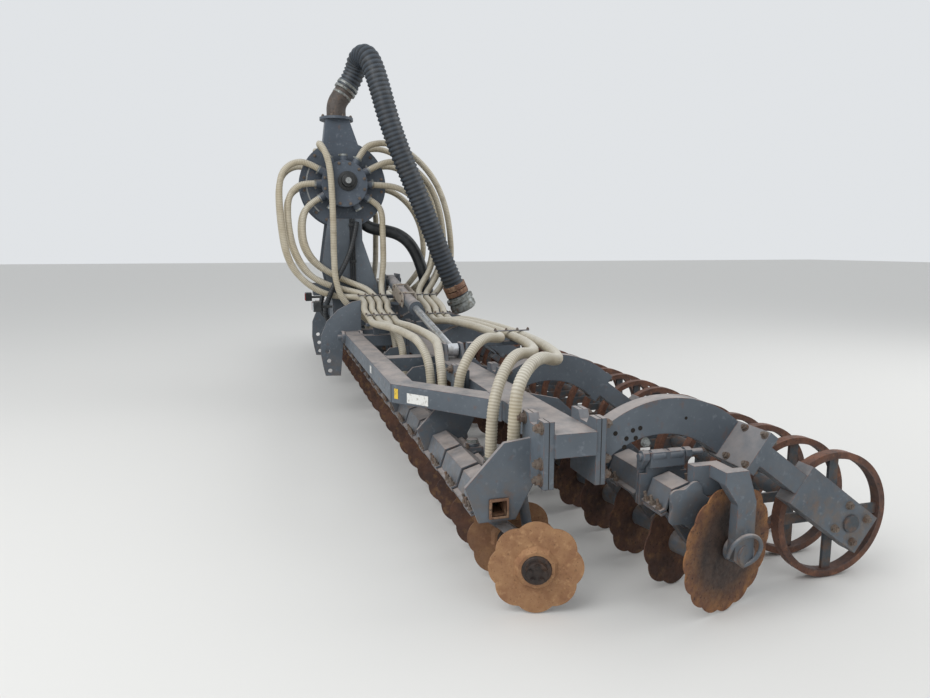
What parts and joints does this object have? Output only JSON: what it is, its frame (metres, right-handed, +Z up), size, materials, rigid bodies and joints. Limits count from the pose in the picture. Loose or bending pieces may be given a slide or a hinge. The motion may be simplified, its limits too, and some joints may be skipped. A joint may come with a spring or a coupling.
{
  "type": "folded slurry injector",
  "caption": "Disc slurry injector in three sections with folding wings, ring roller, distributor tower and hoses, wings unfolded on the ground.",
  "frame": {"origin": "centre of the footprint at ground level", "axes": "+X along the left wing, +Y to the rear, +Z up"},
  "size_m": [8.7254, 2.5129, 3.19],
  "materials": {
    "grey_paint": "slate grey paint, dusty and scratched, rust at edges",
    "worn_disc": "worn steel discs, rusted brown",
    "rusty_ring": "roller rings with bare, rusted rims",
    "rubber_cord": "black rubber cords",
    "slurry_hose": "cream ribbed slurry hose, dirty",
    "feed_hose": "black corrugated suction hose",
    "chrome_rod": "hard chrome",
    "lamp_body": "black lamp housings",
    "coupling": "galvanised coupling"
  },
  "bodies": {
    "centre": {"centre_frame": "grey_paint", "hitch_plates": "grey_paint", "tower": "grey_paint", "distributor_housing": "grey_paint", "distributor_heads": "grey_paint", "inlet_elbow": "grey_paint", "feed_hose": "feed_hose", "feed_coupling": "coupling", "centre_front_gang": "grey_paint", "centre_rear_gang": "grey_paint", "centre_discs": "worn_disc", "centre_rubbers": "rubber_cord", "centre_roller_arms": "grey_paint", "lamps": "lamp_body", "left_tower_hoses": "slurry_hose", "right_tower_hoses": "slurry_hose", "left_crossing_hoses": "slurry_hose", "right_crossing_hoses": "slurry_hose", "left_tower_clamps": "grey_paint", "right_tower_clamps": "grey_paint"},
    "left_wing": {"left_front_discs": "worn_disc", "left_front_gang": "grey_paint", "left_rear_discs": "worn_disc", "left_rear_gang": "grey_paint", "left_roller_arms": "grey_paint", "left_rubbers": "rubber_cord", "left_wing_clamps": "grey_paint", "left_wing_frame": "grey_paint", "left_wing_hoses": "slurry_hose"},
    "left_roller": {"left_roller": "rusty_ring"},
    "left_edge_arm": {"left_edge_arm": "grey_paint", "left_inner_disc": "worn_disc"},
    "left_edge_disc": {"left_edge_disc": "worn_disc"},
    "left_barrel": {"left_cylinder_barrel": "grey_paint"},
    "left_rod": {"left_cylinder_rod": "chrome_rod"},
    "right_wing": {"right_front_discs": "worn_disc", "right_front_gang": "grey_paint", "right_rear_discs": "worn_disc", "right_rear_gang": "grey_paint", "right_roller_arms": "grey_paint", "right_rubbers": "rubber_cord", "right_wing_clamps": "grey_paint", "right_wing_frame": "grey_paint", "right_wing_hoses": "slurry_hose"},
    "right_roller": {"right_roller": "rusty_ring"},
    "right_edge_arm": {"right_edge_arm": "grey_paint"},
    "right_edge_disc": {"right_edge_disc": "worn_disc"},
    "right_barrel": {"right_cylinder_barrel": "grey_paint"},
    "right_rod": {"right_cylinder_rod": "chrome_rod"},
    "centre_roller": {"centre_roller": "rusty_ring"}
  },
  "joints": [
    {"name": "left_wing_fold", "type": "hinge", "parent": "centre", "child": "left_wing", "pos_m": [0.7, -0.342, 0.69], "axis": [0, -1, 0], "range_deg": [0, 90], "deforming": ["left_crossing_hoses"]},
    {"name": "left_barrel_swing", "type": "hinge", "parent": "centre", "child": "left_barrel", "pos_m": [0.06, -0.342, 1.13], "axis": [0, -1, 0], "range_deg": [0, 80]},
    {"name": "left_rod_slide", "type": "slide", "parent": "left_barrel", "child": "left_rod", "axis": [0.9884, 0, -0.1522], "range_m": [-1, 0]},
    {"name": "left_roller_spin", "type": "hinge", "parent": "left_wing", "child": "left_roller", "pos_m": [2.5, 0.869, 0.283], "axis": [-1, 0, 0], "continuous": true},
    {"name": "left_edge_swing", "type": "hinge", "parent": "left_wing", "child": "left_edge_arm", "pos_m": [4.085, 0.068, 0.606], "axis": [0, -1, 0], "range_deg": [0, 45]},
    {"name": "left_edge_disc_spin", "type": "hinge", "parent": "left_edge_arm", "child": "left_edge_disc", "pos_m": [4.268, 0.25, 0.265], "axis": [0.9563, 0.2924, 0], "continuous": true},
    {"name": "right_wing_fold", "type": "hinge", "parent": "centre", "child": "right_wing", "pos_m": [-0.7, -0.342, 0.69], "axis": [0, 1, 0], "range_deg": [0, 90], "deforming": ["right_crossing_hoses"]},
    {"name": "right_barrel_swing", "type": "hinge", "parent": "centre", "child": "right_barrel", "pos_m": [-0.06, -0.342, 1.13], "axis": [0, 1, 0], "range_deg": [0, 80]},
    {"name": "right_rod_slide", "type": "slide", "parent": "right_barrel", "child": "right_rod", "axis": [-0.9884, 0, -0.1522], "range_m": [-1, 0]},
    {"name": "right_roller_spin", "type": "hinge", "parent": "right_wing", "child": "right_roller", "pos_m": [-2.5, 0.869, 0.283], "axis": [-1, 0, 0], "continuous": true},
    {"name": "right_edge_swing", "type": "hinge", "parent": "right_wing", "child": "right_edge_arm", "pos_m": [-4.085, 0.068, 0.606], "axis": [0, 1, 0], "range_deg": [0, 45]},
    {"name": "right_edge_disc_spin", "type": "hinge", "parent": "right_edge_arm", "child": "right_edge_disc", "pos_m": [-4.268, 0.25, 0.265], "axis": [-0.9563, 0.2924, 0], "continuous": true},
    {"name": "centre_roller_spin", "type": "hinge", "parent": "centre", "child": "centre_roller", "pos_m": [0, 0.869, 0.283], "axis": [-1, 0, 0], "continuous": true}
  ],
  "couplings": [
    {"joint": "left_barrel_swing", "follows": "left_wing_fold", "ratio": 0.813},
    {"joint": "left_rod_slide", "follows": "left_wing_fold", "m_per_rad": -0.6261},
    {"joint": "right_barrel_swing", "follows": "right_wing_fold", "ratio": 0.813},
    {"joint": "right_rod_slide", "follows": "right_wing_fold", "m_per_rad": -0.6261}
  ]
}
